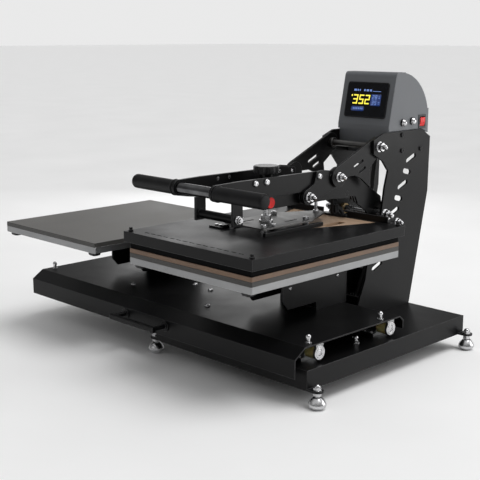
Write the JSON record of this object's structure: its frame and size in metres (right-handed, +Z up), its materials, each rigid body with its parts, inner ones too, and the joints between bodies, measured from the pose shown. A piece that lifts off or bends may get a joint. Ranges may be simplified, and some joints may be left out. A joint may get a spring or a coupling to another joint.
{
  "type": "heat press",
  "caption": "Clamshell heat press with a toggle lever, a control box on a plate tower, and a two-bed sled that slides under one heated head.",
  "frame": {"origin": "middle of the bounding box on the floor", "axes": "+X along the sled, towards the press station; +Y from the operator's side to the tower; +Z up"},
  "size_m": [1.0594, 0.792, 0.694],
  "materials": {
    "black_coat": "satin black powder coat",
    "grey_coat": "satin grey powder coat",
    "bright_steel": "ground and polished steel",
    "chrome": "chrome plate",
    "aluminium": "machined aluminium",
    "yoke_steel": "dull zinc-plated steel",
    "bronze": "sintered bronze",
    "bumper": "olive polyurethane",
    "silicone": "grey-brown silicone sponge",
    "grip_rubber": "matte black rubber",
    "lead": "black rubber sleeve",
    "insulation": "tan glass-fibre board",
    "platen_coat": "tan non-stick coated platen",
    "element": "heater sheath",
    "display": "black display glass",
    "black_plastic": "fine-textured black plastic",
    "red_plastic": "glossy red plastic",
    "board": "circuit board"
  },
  "bodies": {
    "root": {"base_tray": "black_coat", "levelling_feet": "chrome", "foot_lock_nuts": "chrome", "rail_blocks": "aluminium", "rail_bushes": "bronze", "base_bolts": "chrome", "tower_plate_right": "black_coat", "tower_plate_left": "black_coat", "tower_braces": "black_coat", "tower_bolts": "chrome", "upper_pivot_shaft": "yoke_steel", "lower_pivot_shaft": "bright_steel", "control_box_shell": "grey_coat", "display_frame": "black_plastic", "display_glass": "display", "fuse_holders": "black_plastic", "rocker_frame": "black_plastic", "power_inlet": "black_plastic", "control_board": "board", "tower_lead": "lead"},
    "rocker": {"rocker_switch": "red_plastic"},
    "sled": {"sled_tray": "black_coat", "slide_shafts": "bright_steel", "end_bumpers": "bumper", "end_discs": "aluminium", "sled_bolts": "chrome", "sled_handle": "black_coat", "pedestal_right": "black_coat", "pedestal_left": "black_coat", "platen_right": "aluminium", "platen_left": "aluminium", "pad_right": "silicone", "pad_left": "silicone"},
    "arm": {"arm_plates": "black_coat", "press_beam": "black_coat", "arm_cross_tubes": "black_coat", "arm_pivot_pins": "chrome", "arm_bushes": "bronze", "arm_lead": "lead"},
    "button": {"release_button": "red_plastic"},
    "knob": {"pressure_knob": "black_plastic", "adjusting_screw": "chrome"},
    "head": {"head_cover": "black_coat", "insulation_board": "insulation", "heater_element": "element", "head_frame": "black_coat", "heat_platen": "platen_coat", "corner_posts": "black_coat", "yoke_plate": "yoke_steel", "yoke_bolts": "chrome", "head_brackets": "black_coat", "screw_socket": "bright_steel"},
    "lever": {"lever_plates": "black_coat", "handle_bars": "black_coat", "handle_tube": "bright_steel", "grips": "grip_rubber", "latch_frame": "black_coat", "lever_bolts": "chrome"},
    "link": {"link_plates": "black_coat", "link_bolts": "chrome"}
  },
  "joints": [
    {"name": "bed_slide", "type": "slide", "parent": "root", "child": "sled", "axis": [1, 0, 0], "range_m": [0, 0.536]},
    {"name": "head_open", "type": "hinge", "parent": "root", "child": "arm", "pos_m": [0.24075, 0.2105, 0.34], "axis": [-1, 0, 0], "range_deg": [0, 25]},
    {"name": "lever_turn", "type": "hinge", "parent": "arm", "child": "lever", "pos_m": [0.24075, -0.066, 0.415], "axis": [-1, 0, 0], "range_deg": [0, 55.33]},
    {"name": "link_turn", "type": "hinge", "parent": "root", "child": "link", "pos_m": [0.24075, 0.18, 0.5145], "axis": [1, 0, 0], "range_deg": [0, 8.76]},
    {"name": "knob_turn", "type": "hinge", "parent": "head", "child": "knob", "pos_m": [0.24075, -0.138, 0.467], "axis": [0, 0, 1], "range_deg": [0, 720.1]},
    {"name": "head_height", "type": "slide", "parent": "arm", "child": "head", "axis": [0, 0, 1], "range_m": [0, 0.003]},
    {"name": "button_press", "type": "slide", "parent": "arm", "child": "button", "axis": [-1, 0, 0], "range_m": [0, 0.0025], "stiffness_N_per_m": 400},
    {"name": "rocker_tilt", "type": "hinge", "parent": "root", "child": "rocker", "pos_m": [0.31775, 0.359, 0.567], "axis": [0, -1, 0], "range_deg": [0, 16]}
  ],
  "couplings": [
    {"joint": "lever_turn", "follows": "head_open", "ratio": 2.2128},
    {"joint": "link_turn", "follows": "head_open", "ratio": 0.35},
    {"joint": "knob_turn", "follows": "head_height", "rad_per_m": 4188.8}
  ]
}
